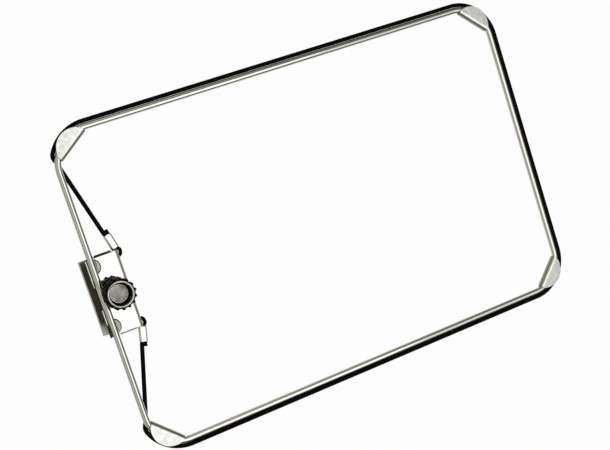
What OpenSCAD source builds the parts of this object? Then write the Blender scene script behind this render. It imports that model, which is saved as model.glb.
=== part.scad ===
// Filter frame on a screw clamp: a ring of bright round rod with an elastic cord round its outside,
// which swings on a bracket that clamps on the edge of a lamp's door.
// X runs from the clamp across the frame, Y along the rod that the clamp carries, Z towards the knob.
// The origin is the middle of the clamp's slot, straight behind that rod.

/* [Frame] */
// Length of the frame over its rod, along X
frame_l = 304; // [240:1:400]
// Width of the frame over its rod, along Y
frame_w = 202; // [170:1:300]
// Diameter of the rod
rod_d = 4; // [3.4:0.1:4.4]
// Bend radius of the corners, at the middle of the rod
bend_r = 22.5; // [21:0.5:26]

/* [Corner guides] */
// Thickness of the folded sheet
guide_t = 0.8; // [0.5:0.1:1.1]
// Radius of the half-round plates
guide_r = 12.4; // [11.5:0.1:13]
// How far the plates reach past the outside of the rod, on the diagonal
guide_lap = 2.1; // [1:0.1:2.5]
// Distance from the middle of the rod to the middle of the fold, on the diagonal
fold_in = 3.4; // [3:0.1:4]
// Clearance between the sheet and the rod
guide_play = 0.1; // [0.05:0.01:0.15]
// How far the upper guide beside the clamp, and the cord with it, is slid round its bend, in degrees
near_slide = 9.5; // [0:0.5:12]

/* [Elastic cord] */
// Diameter of the cord
cord_d = 2.7; // [2.2:0.1:2.8]
// Clearance between the cord and what it lies against
cord_play = 0.1; // [0.06:0.02:0.16]
// Diameter of the cord where a sleeve squeezes it
pinch_d = 2.1; // [1.7:0.1:2.2]

/* [Crimp sleeves] */
// Length of a sleeve
sleeve_l = 9.2; // [7:0.2:11]
// Wall of a sleeve
sleeve_t = 0.4; // [0.3:0.05:0.6]
// Distance from the flange's end to the sleeve
sleeve_off = 2.6; // [2.4:0.1:5]
// Distance of the sleeve from the middle of the flange's sheet, towards the rod
sleeve_in = 0.2; // [0:0.1:0.5]
// Lean of a sleeve towards the rod, in degrees
sleeve_lean = 13.5; // [10:0.5:16]
// Length of the cord's end that stands out of the sleeve
cord_end = 3; // [1:0.5:5]

/* [Clamp bracket] */
// Length of the bracket along the rod
bracket_l = 50; // [49.5:0.5:53]
// Thickness of the bracket's sheet
bracket_t = 1.2; // [0.8:0.1:1.5]
// Inside radius of the bracket's bends
fold_r = 0.6; // [0.3:0.1:0.9]
// Height of the lip beside the rod, from the front of the plate
lip_h = 2.1; // [1.6:0.1:3.4]
// Length of the gap in the middle of the lip
lip_gap = 14; // [8:1:24]
// Depth of the bracket's turned-down ends, from the front of the plate
end_h = 2.7; // [2.4:0.1:2.8]
// Distance from the middle of the rod to the outside of the cord flange
flange_x = 17.9; // [16:0.1:20]
// Inside radius of the cord flange's bend
flange_r = 1.5; // [0.6:0.1:1.8]
// Depth of the cord flange, from the front of the plate
flange_h = 7.2; // [6.4:0.1:9]
// Length of the cord flange
flange_l = 45; // [44:0.5:47]
// Distance from the middle of the flange to each cord hole
eye_y = 20; // [17:0.5:20]
// Depth of the cord holes, from the front of the plate
eye_drop = 3.7; // [3.6:0.1:4.2]
// Clearance of the cord in its hole
eye_play = 0.4; // [0.3:0.05:0.6]
// Clearance in front of and behind the rod
rod_play = 0.1; // [0.05:0.01:0.2]
// Clearance beside the rod
side_play = 0.4; // [0.3:0.05:0.6]

/* [Jaw] */
// Opening of the slot between the two pads
slot_gap = 7; // [6.8:0.1:9]
// Thickness of the pads
pad_t = 1; // [0.7:0.1:1.4]
// Length of the pads along the rod
pad_l = 45; // [36:1:46]
// Thickness of the jaw's plate
jaw_t = 1.5; // [1.2:0.1:2]
// Length of the jaw along the rod
jaw_l = 47; // [46.5:0.5:50]
// Distance from the middle of the rod to the jaw's free edge
jaw_reach = 5.7; // [5:0.1:8]
// Distance from the middle of the rod to the jaw's inner edge
jaw_in = 11; // [9:0.1:11.5]
// Width of the lip along the jaw's free edge
jaw_lip = 0.5; // [0.4:0.1:1.2]
// Length along the rod of the tab that carries the nut
tab_l = 16; // [14:0.5:20]
// Metal left round the nut on its tab
tab_edge = 0.5; // [0.3:0.1:0.8]
// Thickness of a D-shaped post, from its flat side
post_t = 2.4; // [2:0.1:2.8]
// Length of a post along the rod
post_l = 8.2; // [7:0.1:9]
// Distance from the screw's axis to the middle of each post
post_y = 18.7; // [16:0.1:18.7]
// Height of the posts above the front of the plate, with the slot open
post_rise = 1; // [0.5:0.1:3.5]
// Clearance of the posts in the plate
post_play = 0.3; // [0.2:0.05:0.35]

/* [Screw] */
// Distance from the middle of the rod to the screw's axis
screw_x = 8.5; // [8.2:0.1:8.7]
// Diameter of the screw
screw_d = 6; // [5:0.1:6.2]
// Running clearance of the screw in the nut and the collar, and under the knob
run_play = 0.05; // [0.02:0.01:0.1]
// Clearance of the screw in the plate, the washer and the jaw
loose_play = 0.4; // [0.3:0.05:0.6]
// Width across the flats of the nut
nut_af = 10; // [9:0.1:10.4]
// Height of the nut
nut_h = 4; // [3:0.1:5]
// Length of screw past the nut, with the slot open
screw_tail = 1; // [0.5:0.1:4]
// Outside diameter of the spacer collar
collar_d = 11; // [9:0.1:12]
// Diameter of the washer that presses on the rod
washer_d = 18.4; // [15.5:0.1:19]
// Thickness of the washer
washer_t = 1; // [0.6:0.1:1.5]
// Outside diameter of the retaining clip
clip_d = 10; // [8.5:0.1:11]
// Thickness of the retaining clip
clip_t = 0.8; // [0.5:0.1:0.9]
// Depth of the clip's groove in the screw
clip_groove = 0.5; // [0.3:0.1:0.8]
// Clearance between the clip and the plate
clip_play = 0.3; // [0.1:0.05:0.4]

/* [Knob] */
// Diameter of the knob over its ribs
knob_d = 19.2; // [18.8:0.1:22]
// Height of the knob
knob_h = 11; // [8.5:0.5:16]
// Number of ribs
rib_count = 15; // [10:1:18]
// Diameter of a rib
rib_d = 2; // [1.6:0.1:2.2]
// How far the middle of a rib lies inside the knob's core
rib_sink = 0.1; // [0:0.05:0.4]
// Diameter of the recess in the knob's top
recess_d = 13.6; // [12:0.1:13.8]
// Width of the bright ring round the recess
ring_w = 1.15; // [0.6:0.05:1.2]
// Depth of the ring in the knob's top
ring_t = 0.8; // [0.5:0.1:1.2]
// Diameter of the bright cap in the recess
cap_d = 11.2; // [9:0.1:11.5]
// Thickness of the cap
cap_t = 1.2; // [0.8:0.1:1.8]
// Depth of the cap's rim below the knob's top
cap_drop = 6.5; // [3:0.1:6.6]
// Width of the raised rim on the cap
cap_rim = 0.6; // [0.4:0.1:1]
// Height of the raised rim on the cap
cap_rim_h = 0.4; // [0.2:0.1:0.6]

/* [Hidden] */
$fn = 64;

// How far a cut runs past the face that it opens
cut = 0.5;
// Sides of the cord's tube
cord_sides = 8;
// Steps of the cord round a corner, and where it crosses behind the rod
arc_steps = 12;
cross_steps = 8;
// Where the crossing starts and ends on the bend, and how far it turns round the rod, in degrees
cross_from = 23;
cross_to = 4;
cross_turn = 100;

rod_r = rod_d / 2;
cord_r = cord_d / 2;
screw_r = screw_d / 2;

// Heights, from the slot outwards
plate_z0 = slot_gap / 2 + pad_t;
plate_z1 = plate_z0 + bracket_t;
rod_z = plate_z1 + rod_play + rod_r;
washer_z0 = rod_z + rod_r + rod_play;
washer_z1 = washer_z0 + washer_t;
knob_z0 = washer_z1 + run_play;
knob_z1 = knob_z0 + knob_h;
cap_z1 = knob_z1 - cap_drop;
recess_z0 = cap_z1 - cap_t;
clip_z1 = plate_z0 - clip_play;
clip_z0 = clip_z1 - clip_t;
jaw_z1 = -slot_gap / 2 - pad_t;
jaw_z0 = jaw_z1 - jaw_t;
nut_z0 = jaw_z0 - nut_h;
screw_z0 = nut_z0 - screw_tail;
eye_z = plate_z1 - eye_drop;

// Places across the clamp
lip_x = rod_r + side_play + bracket_t;
post_x = rod_r + side_play;
pad_x = post_x - 2 * post_play;
fold_out = fold_r + bracket_t;
flange_out = flange_r + bracket_t;
eye_x = flange_x - bracket_t / 2;
// The flange ends under the plate's corners, which stay whole above the cord's loops
notch_z = eye_z + cord_r + 2 * cord_play;
// The bracket's ends bend down between the posts and the cord, with a narrow notch on both sides
end_notch = bracket_t / 3;
end_y = bracket_l / 2 - fold_out;

// The round side of a post, through the ends of its flat side
post_r = ((post_l / 2) ^ 2 + post_t ^ 2) / (2 * post_t);

// The ring of the rod's middle line, and the cord's line outside it
ring_l = frame_l - rod_d;
ring_h = frame_w - rod_d;
bend_y = ring_h / 2 - bend_r;
cord_off = rod_r + cord_play + cord_r;
cord_bend = bend_r + cord_off;

// Places along the diagonal of a corner, outwards from where the rod's middle lines would cross
diagonal_rod = -bend_r * (sqrt(2) - 1);
guide_tip = diagonal_rod + rod_r + guide_lap;
guide_gap = rod_r + guide_play;
fold_s = diagonal_rod - fold_in;
// The fold ends where its inside would meet the rod, or with the plates
guide_chord = sqrt(guide_r ^ 2 - (fold_s - guide_tip + guide_r) ^ 2);
rod_chord = sqrt((bend_r - guide_gap) ^ 2 - (bend_r - fold_in - guide_gap) ^ 2);
guide_half = min(guide_chord, rod_chord);

// The cord's eye through the flange, and the two strands side by side in the sleeve
loop_r = bracket_t / 2 + 2 * cord_play + cord_r;
strand = pinch_d / 2 + cord_play / 2;
sleeve_turn = [cos(sleeve_lean), sin(sleeve_lean), 0];
sleeve_way = [-sin(sleeve_lean), cos(sleeve_lean), 0];
sleeve_foot = [eye_x - sleeve_in, flange_l / 2 + sleeve_off, eye_z];
end_x0 = post_x + post_t / 3;
end_x1 = eye_x - loop_r - cord_r - 2 * cord_play;

function unit(v) = v / norm(v);
function smooth(s) = s * s * (3 - 2 * s);
function heading(a, b) = a == b ? [0, 0, 0] : unit(b - a);
function tangent(p, i) = unit(heading(p[max(i - 1, 0)], p[i]) + heading(p[i], p[min(i + 1, len(p) - 1)]));
function mirrored(p) = [for (i = [len(p) - 1 : -1 : 0]) [p[i].x, -p[i].y, p[i].z]];
function ring(c, t, r) =
    let (u = unit(cross([0, 0, 1], t)), w = cross(t, u))
    [for (k = [0 : cord_sides - 1])
        c + r * (cos(360 * k / cord_sides) * u + sin(360 * k / cord_sides) * w)];
// A point on a circle of radius r, level with the rod
function on_arc(cx, r, a) = [cx + r * cos(a), bend_y + r * sin(a), rod_z];
function arc(cx, a0, a1) = [for (i = [0 : arc_steps])
    on_arc(cx, cord_bend, a0 + (a1 - a0) * i / arc_steps)];
// A point in the upper sleeve: side is -1 for the strand next to the rod
function in_sleeve(side, along) = sleeve_foot + side * strand * sleeve_turn + along * sleeve_way;

// Where the cord crosses from the outside of the bend to the back of the rod
function crossing(slide) = [for (i = [1 : cross_steps])
    let (s = i / cross_steps, turn = cross_turn * smooth(s))
    on_arc(bend_r, bend_r + cord_off * cos(turn), 180 - slide - cross_from + (cross_from - cross_to) * s)
        - [0, 0, cord_off * sin(turn)]];
function half_line(slide) = let (crossed = crossing(slide)) concat(
    [for (i = [cross_steps - 1 : -1 : 0]) crossed[i]],
    arc(bend_r, 180 - slide - cross_from, 90),
    arc(ring_l - bend_r, 90, 0));
band_line = concat(half_line(near_slide), mirrored(half_line(0)));

// Each tail runs on from there into its sleeve, through the flange and back into the sleeve
tail_in = in_sleeve(-1, sleeve_l);
// How far both strands run straight on past the sleeve's foot
foot_run = 0.3 * cord_r;
loop_line = [for (a = [180 : 30 : 360])
    [eye_x + loop_r * cos(a), eye_y + loop_r + loop_r * sin(a), eye_z]];
function tail_line(slide) =
    let (way = unit(tail_in - crossing(slide)[cross_steps - 1]))
    concat(
        [crossing(slide)[cross_steps - 1] + 3 * cord_play * way, tail_in - cord_d * way, tail_in],
        [in_sleeve(-1, 0), in_sleeve(-1, -foot_run)],
        [[eye_x - loop_r, eye_y + loop_r + cord_r / 2, eye_z]], loop_line,
        [[eye_x + loop_r, eye_y + loop_r + cord_r, eye_z]],
        [in_sleeve(1, -foot_run), in_sleeve(1, 0), in_sleeve(1, sleeve_l), in_sleeve(1, sleeve_l + cord_end)]);
tail_r = concat(
    [cord_r, cord_r, pinch_d / 2, pinch_d / 2, pinch_d / 2, pinch_d / 2],
    [for (p = loop_line) cord_r],
    [cord_r, pinch_d / 2, pinch_d / 2, pinch_d / 2, pinch_d / 2]);

// A round cord along a line of points, with its radius at each
module cord(line, radii) {
    last = (len(line) - 1) * cord_sides;
    rings = [for (i = [0 : len(line) - 1]) each ring(line[i], tangent(line, i), radii[i])];
    sides = [for (i = [0 : cord_sides : last - cord_sides], k = [0 : cord_sides - 1])
        let (a = i + k, b = i + (k + 1) % cord_sides)
        each [[a, a + cord_sides, b], [b, a + cord_sides, b + cord_sides]]];
    ends = [for (k = [1 : cord_sides - 2]) each [[0, k, k + 1], [last, last + k + 1, last + k]]];
    color([0.08, 0.07, 0.07]) polyhedron(points = rings, faces = concat(sides, ends));
}

// A cylinder of radius r on the screw's axis, from z0 to z1
module on_screw(r, z0, z1) {
    translate([screw_x, 0, z0]) cylinder(r = r, h = z1 - z0);
}

// A block from one corner to the other
module block(low, high) {
    translate(low) cube(high - low);
}

// One quarter of a bend in the bracket's sheet, about its centre
module bend_profile(turn, inside = fold_r) {
    rotate(turn) intersection() {
        difference() {
            circle(inside + bracket_t);
            circle(inside);
        }
        square(inside + bracket_t);
    }
}

// The bracket's sheet seen along the rod: lip, plate and flange
module bracket_profile() {
    translate([-lip_x + fold_out, plate_z0]) square([lip_x + flange_x - fold_out - flange_out, bracket_t]);
    translate([-lip_x + fold_out, plate_z0 + fold_out]) bend_profile(180);
    translate([-lip_x, plate_z0 + fold_out]) square([bracket_t, lip_h + bracket_t - fold_out]);
    translate([flange_x - flange_out, plate_z1 - flange_out]) bend_profile(0, flange_r);
    translate([flange_x - bracket_t, plate_z1 - flange_h]) square([bracket_t, flange_h - flange_out]);
}

// A turned-down end of the bracket seen across the rod, with a short run of the plate
module end_profile() {
    translate([end_y - fold_out, plate_z0]) square([fold_out, bracket_t]);
    translate([end_y, plate_z1 - fold_out]) bend_profile(0);
    translate([bracket_l / 2 - bracket_t, plate_z1 - end_h]) square([bracket_t, end_h - fold_out]);
}

// The D-shape of a post, grown by a clearance
module post_profile(play) {
    intersection() {
        translate([post_x + post_t - post_r, 0]) circle(post_r + play);
        translate([post_x - play, -post_l]) square([post_t + 2 * play, 2 * post_l]);
    }
}

// The plate behind the rod, with a lip beside the rod, two ends that bend down and a flange that
// holds the cord's two ends
module bracket_plate() {
    far = bracket_l / 2 + cut;
    color([0.86, 0.86, 0.84]) difference() {
        union() {
            difference() {
                rotate([90, 0, 0]) linear_extrude(bracket_l - bracket_t, center = true) bracket_profile();
                for (s = [-1, 1])
                    block([end_x0 - end_notch, min(s * far, s * end_y), plate_z0 - cut],
                          [end_x1 + end_notch, max(s * far, s * end_y), plate_z1 + cut]);
            }
            for (s = [0, 1])
                mirror([0, s, 0]) translate([end_x0, 0, 0])
                    rotate([90, 0, 90]) linear_extrude(end_x1 - end_x0) end_profile();
        }
        block([-lip_x - cut, -lip_gap / 2, plate_z0 - cut],
              [-lip_x + fold_out, lip_gap / 2, plate_z1 + lip_h + cut]);
        for (s = [-1, 1])
            block([flange_x - flange_out, min(s * far, s * flange_l / 2), plate_z1 - flange_h - cut],
                  [flange_x + cut, max(s * far, s * flange_l / 2), notch_z]);
        for (s = [-1, 1])
            translate([flange_x - flange_out, s * eye_y, eye_z]) rotate([0, 90, 0])
                cylinder(r = cord_r + eye_play, h = flange_out + cut);
        for (s = [-1, 1])
            translate([0, s * post_y, plate_z0 - cut])
                linear_extrude(bracket_t + 2 * cut) post_profile(post_play);
        on_screw(screw_r + loose_play, plate_z0 - cut, plate_z1 + cut);
    }
}

// The rubber strip on the back of the plate
module plate_pad() {
    color([0.2, 0.19, 0.16])
        block([-lip_x + fold_out, -pad_l / 2, slot_gap / 2], [pad_x, pad_l / 2, plate_z0]);
}

// The tube round the screw that brings the washer level with the front of the rod
module spacer_collar() {
    color([0.75, 0.75, 0.72]) difference() {
        on_screw(collar_d / 2, plate_z1, washer_z0);
        on_screw(screw_r + run_play, plate_z1 - cut, washer_z0 + cut);
    }
}

// The dark washer under the knob, which reaches over the rod
module pressure_washer() {
    color([0.35, 0.34, 0.32]) difference() {
        on_screw(washer_d / 2, washer_z0, washer_z1);
        on_screw(screw_r + loose_play, washer_z0 - cut, washer_z1 + cut);
    }
}

// The cord's end: straight from the frame to its sleeve, with an eye through the flange
module upper_cord_tail() {
    cord(tail_line(near_slide), tail_r);
}

module lower_cord_tail() {
    mirror([0, 1, 0]) cord(tail_line(0), tail_r);
}

// The flat sleeve pressed round the cord's end and the strand beside it
module upper_crimp_sleeve() {
    inner_r = pinch_d / 2 + cord_play / 2;
    color([0.9, 0.9, 0.88]) translate(sleeve_foot) rotate([90, 0, sleeve_lean])
        mirror([0, 0, 1]) linear_extrude(sleeve_l) difference() {
            union() {
                square([2 * strand, 2 * (inner_r + sleeve_t)], center = true);
                for (s = [-1, 1]) translate([s * strand, 0]) circle(inner_r + sleeve_t);
            }
            square([2 * strand, 2 * inner_r], center = true);
            for (s = [-1, 1]) translate([s * strand, 0]) circle(inner_r);
        }
}

module lower_crimp_sleeve() {
    mirror([0, 1, 0]) upper_crimp_sleeve();
}

// The outline of the ribbed grip
module knob_outline() {
    rib_ring = (knob_d - rib_d) / 2;
    circle(rib_ring + rib_sink);
    for (i = [0 : rib_count - 1])
        rotate(360 * i / rib_count) translate([rib_ring, 0]) circle(d = rib_d);
}

// The ribbed grip, hollow at the top
module knob_body() {
    color([0.07, 0.06, 0.05]) difference() {
        translate([screw_x, 0, knob_z0]) linear_extrude(knob_h) knob_outline();
        on_screw(recess_d / 2, recess_z0, knob_z1 + cut);
        on_screw(recess_d / 2 + ring_w, knob_z1 - ring_t, knob_z1 + cut);
        on_screw(screw_r, knob_z0 - cut, recess_z0 + cut);
    }
}

// The bright ring let into the knob's top edge
module knob_rim_ring() {
    color([0.75, 0.73, 0.69]) difference() {
        on_screw(recess_d / 2 + ring_w, knob_z1 - ring_t, knob_z1);
        on_screw(recess_d / 2, knob_z1 - ring_t - cut, knob_z1 + cut);
    }
}

// The bright cap at the bottom of the recess, over the screw's end
module knob_cap() {
    color([0.6, 0.57, 0.52]) difference() {
        on_screw(cap_d / 2, recess_z0, cap_z1);
        on_screw(cap_d / 2 - cap_rim, cap_z1 - cap_rim_h, cap_z1 + cut);
    }
}

// The screw from the knob to its free end behind the nut, with a groove for the clip
module clamp_screw() {
    color([0.65, 0.65, 0.62]) difference() {
        on_screw(screw_r, screw_z0, recess_z0);
        difference() {
            on_screw(screw_r + cut, clip_z0, clip_z1);
            on_screw(screw_r - clip_groove, clip_z0 - cut, clip_z1 + cut);
        }
    }
}

// The spring clip that keeps the screw in the plate, open on one side
module retaining_clip() {
    color([0.35, 0.34, 0.32]) difference() {
        on_screw(clip_d / 2, clip_z0, clip_z1);
        on_screw(screw_r - clip_groove, clip_z0 - cut, clip_z1 + cut);
        block([screw_x, -(screw_r - clip_groove) * 0.9, clip_z0 - cut],
              [screw_x + clip_d, (screw_r - clip_groove) * 0.9, clip_z1 + cut]);
    }
}

// The rear jaw: a plate with a lip, a tab for the nut and two posts that slide in the bracket's plate
module clamp_jaw() {
    color([0.72, 0.72, 0.69]) difference() {
        union() {
            block([-jaw_reach, -jaw_l / 2, jaw_z0], [jaw_in, jaw_l / 2, jaw_z1]);
            block([-jaw_reach, -jaw_l / 2, jaw_z0], [jaw_lip - jaw_reach, jaw_l / 2, jaw_z1 + pad_t]);
            block([screw_x, -tab_l / 2, jaw_z0], [screw_x + nut_af / 2 + tab_edge, tab_l / 2, jaw_z1]);
            for (s = [-1, 1])
                translate([0, s * post_y, jaw_z0])
                    linear_extrude(plate_z1 + post_rise - jaw_z0) post_profile(0);
        }
        on_screw(screw_r + loose_play, jaw_z0 - cut, jaw_z1 + cut);
    }
}

// The rubber strip on the jaw
module jaw_pad() {
    color([0.27, 0.26, 0.2])
        block([jaw_lip - jaw_reach, -pad_l / 2, jaw_z1], [pad_x, pad_l / 2, jaw_z1 + pad_t]);
}

// The nut fixed behind the jaw
module jaw_nut() {
    color([0.68, 0.68, 0.65]) difference() {
        translate([screw_x, 0, nut_z0]) rotate(30)
            cylinder(d = nut_af / cos(30), h = nut_h, $fn = 6);
        on_screw(screw_r + run_play, nut_z0 - cut, jaw_z0 + cut);
    }
}

// The bent ring of bright rod
module frame_rod() {
    color([0.68, 0.68, 0.63]) translate([ring_l / 2, 0, rod_z]) {
        for (sx = [-1, 1], sy = [-1, 1])
            mirror([sx < 0 ? 1 : 0, 0, 0]) mirror([0, sy < 0 ? 1 : 0, 0])
                translate([ring_l / 2 - bend_r, bend_y, 0])
                    rotate_extrude(angle = 90) translate([bend_r, 0]) circle(rod_r);
        for (sx = [-1, 1])
            translate([sx * ring_l / 2, 0, 0]) rotate([90, 0, 0])
                cylinder(r = rod_r, h = 2 * bend_y, center = true);
        for (sy = [-1, 1])
            translate([0, sy * ring_h / 2, 0]) rotate([0, 90, 0])
                cylinder(r = rod_r, h = ring_l - 2 * bend_r, center = true);
    }
}

// The elastic cord along three sides of the ring, to the back of the rod at both ends
module elastic_band() {
    cord(band_line, [for (p = band_line) cord_r]);
}

// A half-round sheet folded over the bend of the rod: the cord runs between its two plates.
// Here X is the diagonal of the corner, outwards from where the rod's middle lines would cross.
module corner_guide() {
    for (s = [-1, 1])
        translate([0, 0, s * (guide_gap + guide_t / 2)]) linear_extrude(guide_t, center = true)
            intersection() {
                translate([guide_tip - guide_r, 0]) circle(guide_r);
                translate([fold_s, -guide_r]) square([2 * guide_r, 2 * guide_r]);
            }
    translate([fold_s, 0, 0]) rotate([90, 0, 0]) linear_extrude(2 * guide_half, center = true)
        intersection() {
            difference() {
                circle(guide_gap + guide_t);
                circle(guide_gap);
            }
            translate([-2 * guide_gap, -2 * guide_gap]) square([2 * guide_gap, 4 * guide_gap]);
        }
}

// The guide set on a corner, slid round the bend: sx is -1 at the clamp's side, sy is -1 at the bottom
module guide_at(sx, sy, slide = 0) {
    color([0.76, 0.77, 0.75])
        translate([ring_l / 2 + sx * (ring_l / 2 - bend_r), sy * bend_y, rod_z])
            rotate(atan2(sy, sx) - slide) translate([bend_r * sqrt(2), 0, 0]) corner_guide();
}

module corner_guide_near_top() {
    guide_at(-1, 1, near_slide);
}

module corner_guide_near_bottom() {
    guide_at(-1, -1);
}

module corner_guide_far_top() {
    guide_at(1, 1);
}

module corner_guide_far_bottom() {
    guide_at(1, -1);
}

bracket_plate();
plate_pad();
spacer_collar();
pressure_washer();
upper_cord_tail();
lower_cord_tail();
upper_crimp_sleeve();
lower_crimp_sleeve();
knob_body();
knob_rim_ring();
knob_cap();
clamp_screw();
retaining_clip();
clamp_jaw();
jaw_pad();
jaw_nut();
frame_rod();
elastic_band();
corner_guide_near_top();
corner_guide_near_bottom();
corner_guide_far_top();
corner_guide_far_bottom();
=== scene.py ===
import math

import bmesh
import bpy
from mathutils import Matrix, Vector


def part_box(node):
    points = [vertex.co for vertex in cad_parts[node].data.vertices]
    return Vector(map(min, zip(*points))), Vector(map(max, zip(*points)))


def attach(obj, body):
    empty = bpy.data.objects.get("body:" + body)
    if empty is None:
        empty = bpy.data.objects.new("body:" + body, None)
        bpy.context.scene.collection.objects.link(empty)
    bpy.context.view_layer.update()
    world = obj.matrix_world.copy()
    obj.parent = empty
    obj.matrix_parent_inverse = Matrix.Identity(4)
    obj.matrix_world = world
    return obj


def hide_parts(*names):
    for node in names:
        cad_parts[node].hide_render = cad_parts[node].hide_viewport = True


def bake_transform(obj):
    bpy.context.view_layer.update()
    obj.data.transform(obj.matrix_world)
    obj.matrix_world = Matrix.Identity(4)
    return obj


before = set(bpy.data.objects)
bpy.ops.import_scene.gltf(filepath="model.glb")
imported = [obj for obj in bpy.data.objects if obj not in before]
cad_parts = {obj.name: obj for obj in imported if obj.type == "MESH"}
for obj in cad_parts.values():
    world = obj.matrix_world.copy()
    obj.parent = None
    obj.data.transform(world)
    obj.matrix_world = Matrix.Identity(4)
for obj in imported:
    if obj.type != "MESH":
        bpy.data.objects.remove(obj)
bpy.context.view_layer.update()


# Bracket sheet: the front half of the clamp, bright plated steel sheet. It is stamped flat, then bent
# up into a lip beside the rod, down at both ends and into a flange for the cord, with slots for the
# jaw's posts.
SCREW_X, SCREW_HOLE_R = 8.5, 3.4
POST_FLAT, POST_THICK, POST_ROUND, POST_Y, SLOT_PLAY = 2.4, 2.4, 4.702, 18.7, 0.5
SHEET, SHEET_EDGE, BEND_MID, BEND_OUT = 1.2, 0.16, 1.2, 1.8
PLATE_MID, PLATE_HALF = 5.1, 24.4
END_Y, END_FROM, END_TO, END_NOTCH, END_LOW = 23.2, 3.2, 13.6, 0.4, 3
LIP_X, LIP_TOP, LIP_GAP, LIP_ROUND = -3.6, 7.8, 7, 0.55
FLANGE_X, FLANGE_MID, FLANGE_OUT, FLANGE_END, FLANGE_HALF = 17.9, 2.1, 2.7, -1.5, 22.5
EYE_Y, EYE_Z, EYE_R, NOTCH_TOP = 20, 2, 1.75, 3.55
# The third colour on the next line is painted shade for the flange's bend.
PLATE_BRIGHT, PLATE_DULL, FLANGE_BEND_PAINTED_SHADE = (0.86, 0.86, 0.84), (0.8, 0.8, 0.77), (0.7, 0.7, 0.64)
# Painted shade: dark and grey colours for the upper end, and dark colours for the lip's side and foot.
END_PAINTED_SHADE, END_PAINTED_GREY = (0.05, 0.05, 0.036), (0.2, 0.2, 0.15)
LIP_SIDE_PAINTED_SHADE, LIP_FOOT_PAINTED_SHADOW = (0.06, 0.06, 0.05), (0.03, 0.03, 0.025)

# Masks, from none to all, in X or Y: painted shade at the upper end, on the flange's bend and on the
# lip's side and foot; the flange's bend and the lower end are also rougher.
UPPER_END, UPPER_END_GREY, LOWER_END = (END_Y + 0.3, END_Y + 0.8), (9, 14), (-END_Y - 0.2, -END_Y - 0.6)
FLANGE_BEND = (FLANGE_X - 2.5, FLANGE_X - 1.9)
LIP_SIDE, LIP_FACE, LIP_FOOT = (LIP_X + 0.5, LIP_X + 0.25), (LIP_X + 1.3, LIP_X + 1.1), (-15, -17)
FLANGE_ROUGHER, LOWER_END_ROUGHER = 0.38, 0.4

# Lengths are in millimetres until a piece is settled. Points closer than CLOSE to a face count as on it,
# points closer than MERGE become one, and a cutting tool stands PAST out of what it cuts.
MM, CLOSE, MERGE, PAST = 0.001, 0.01, 0.001, 1


def alone():
    """Closes the piece that is open and lets go of everything."""
    if bpy.context.mode != "OBJECT":
        bpy.ops.object.mode_set(mode="OBJECT")
    bpy.ops.object.select_all(action="DESELECT")


def hold(piece):
    """Selects one piece alone."""
    alone()
    piece.select_set(True)
    bpy.context.view_layer.objects.active = piece


def open_up(piece):
    """Opens one piece with all of it selected."""
    hold(piece)
    bpy.ops.object.mode_set(mode="EDIT")
    bpy.ops.mesh.select_all(action="SELECT")


def start(name, primitive, **settings):
    """Adds a primitive, in millimetres, and opens it with all of it selected."""
    alone()
    primitive(**settings)
    bpy.ops.object.transform_apply()
    piece = bpy.context.object
    piece.name = piece.data.name = name
    bpy.ops.object.mode_set(mode="EDIT")
    bpy.ops.mesh.select_mode(type="VERT")
    bpy.ops.mesh.select_all(action="SELECT")
    return piece


def block(name, low, high):
    low, high = Vector(low), Vector(high)
    return start(name, bpy.ops.mesh.primitive_cube_add, size=1, location=(low + high) / 2, scale=high - low)


def leaf(name, low, high):
    """A flat sheet between two corners at the same height."""
    low, high = Vector(low), Vector(high)
    middle = (low + high) / 2
    sheet = start(name, bpy.ops.mesh.primitive_plane_add, size=1, location=middle)
    bpy.ops.transform.resize(value=(high.x - low.x, high.y - low.y, 1), center_override=middle)
    return sheet


def bar(name, radius, foot, way, length, sides=64):
    """A round bar from its foot along a direction."""
    way = Vector(way).normalized()
    return start(name, bpy.ops.mesh.primitive_cylinder_add, vertices=sides, radius=radius, depth=length,
                 location=Vector(foot) + way * length / 2, rotation=way.to_track_quat("Z", "Y").to_euler())


def pick(kind, inside):
    """Selects the vertices, edges or faces of the open piece that lie wholly inside."""
    mesh = bmesh.from_edit_mesh(bpy.context.object.data)
    bpy.ops.mesh.select_mode(type=kind)
    bpy.ops.mesh.select_all(action="DESELECT")
    if kind == "VERT":
        for vertex in mesh.verts:
            vertex.select_set(inside(*vertex.co))
    else:
        for part in mesh.edges if kind == "EDGE" else mesh.faces:
            part.select_set(all(inside(*vertex.co) for vertex in part.verts))
    mesh.select_flush_mode()
    bmesh.update_edit_mesh(bpy.context.object.data)


def draw_out(x=0.0, y=0.0, z=0.0):
    bpy.ops.mesh.extrude_region_move(TRANSFORM_OT_translate={"value": (x, y, z)})


def fold(centre, axis, degrees, steps=8):
    """Turns what is selected round a centre and leaves the bend behind it. A spin counts clockwise."""
    bpy.ops.mesh.spin(steps=steps, angle=-math.radians(degrees), center=centre, axis=axis)


def work(piece, kind, **settings):
    """Adds a modifier to a piece and applies it."""
    hold(piece)
    modifier = piece.modifiers.new(kind, kind)
    for key, value in settings.items():
        setattr(modifier, key, value)
    bpy.ops.object.modifier_apply(modifier=modifier.name)


def thicken(piece, thickness, side=0):
    """Turns all faces of a sheet the same way and gives it its thickness."""
    open_up(piece)
    bpy.ops.mesh.normals_make_consistent(inside=False)
    work(piece, "SOLIDIFY", thickness=thickness, offset=side)


def join(piece, tool, operation="DIFFERENCE"):
    """Cuts a tool out of a piece, or joins it on, and takes the tool away."""
    alone()
    work(piece, "BOOLEAN", object=tool, operation=operation, solver="EXACT")
    bpy.data.objects.remove(tool)


def soften(piece, width):
    """Rounds the sharp edges of a piece."""
    work(piece, "BEVEL", width=width, segments=2, limit_method="ANGLE", angle_limit=math.radians(40))


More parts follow.
